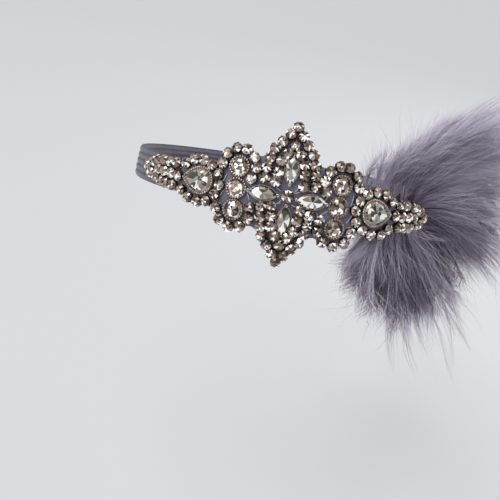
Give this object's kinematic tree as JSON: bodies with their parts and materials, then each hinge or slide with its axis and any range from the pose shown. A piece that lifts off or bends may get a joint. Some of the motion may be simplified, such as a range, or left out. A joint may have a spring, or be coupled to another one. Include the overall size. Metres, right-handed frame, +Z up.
{
  "type": "flapper headband",
  "caption": "Worn headband: ribbed elastic loop with a rhinestone and felt applique sewn to its front and fluffy lilac plumes tucked behind one end.",
  "frame": {"origin": "middle of the loop, where the centre line of the wearer's head passes through it", "axes": "+Z up along the wearer's head, -Y out through the middle of the applique (the front), +X to the wearer's left, where the plumes are"},
  "size_m": [0.2489, 0.1921, 0.1172],
  "materials": {
    "elastic": "ribbed woven elastic, soft sheen",
    "felt": "matte felt",
    "crystal": "foil-backed cut crystal in silver-toned cups",
    "plume": "soft down"
  },
  "bodies": {
    "root": {"elastic_band": "elastic", "felt_backing": "felt", "centre_stone": "crystal", "top_navette": "crystal", "bottom_navette": "crystal", "left_navette": "crystal", "right_navette": "crystal", "top_outer_chain": "crystal", "top_inner_chain": "crystal", "bottom_outer_chain": "crystal", "bottom_inner_chain": "crystal", "left_upper_rosette": "crystal", "left_middle_rosette": "crystal", "left_lower_rosette": "crystal", "left_pear": "crystal", "left_upper_scroll_chain": "crystal", "left_lower_scroll_chain": "crystal", "left_pear_chain": "crystal", "left_tip_chain": "crystal", "right_upper_rosette": "crystal", "right_middle_rosette": "crystal", "right_lower_rosette": "crystal", "right_pear": "crystal", "right_upper_scroll_chain": "crystal", "right_lower_scroll_chain": "crystal", "right_pear_chain": "crystal", "right_tip_chain": "crystal", "upper_plume": "plume", "lower_plume": "plume"}
  },
  "joints": []
}
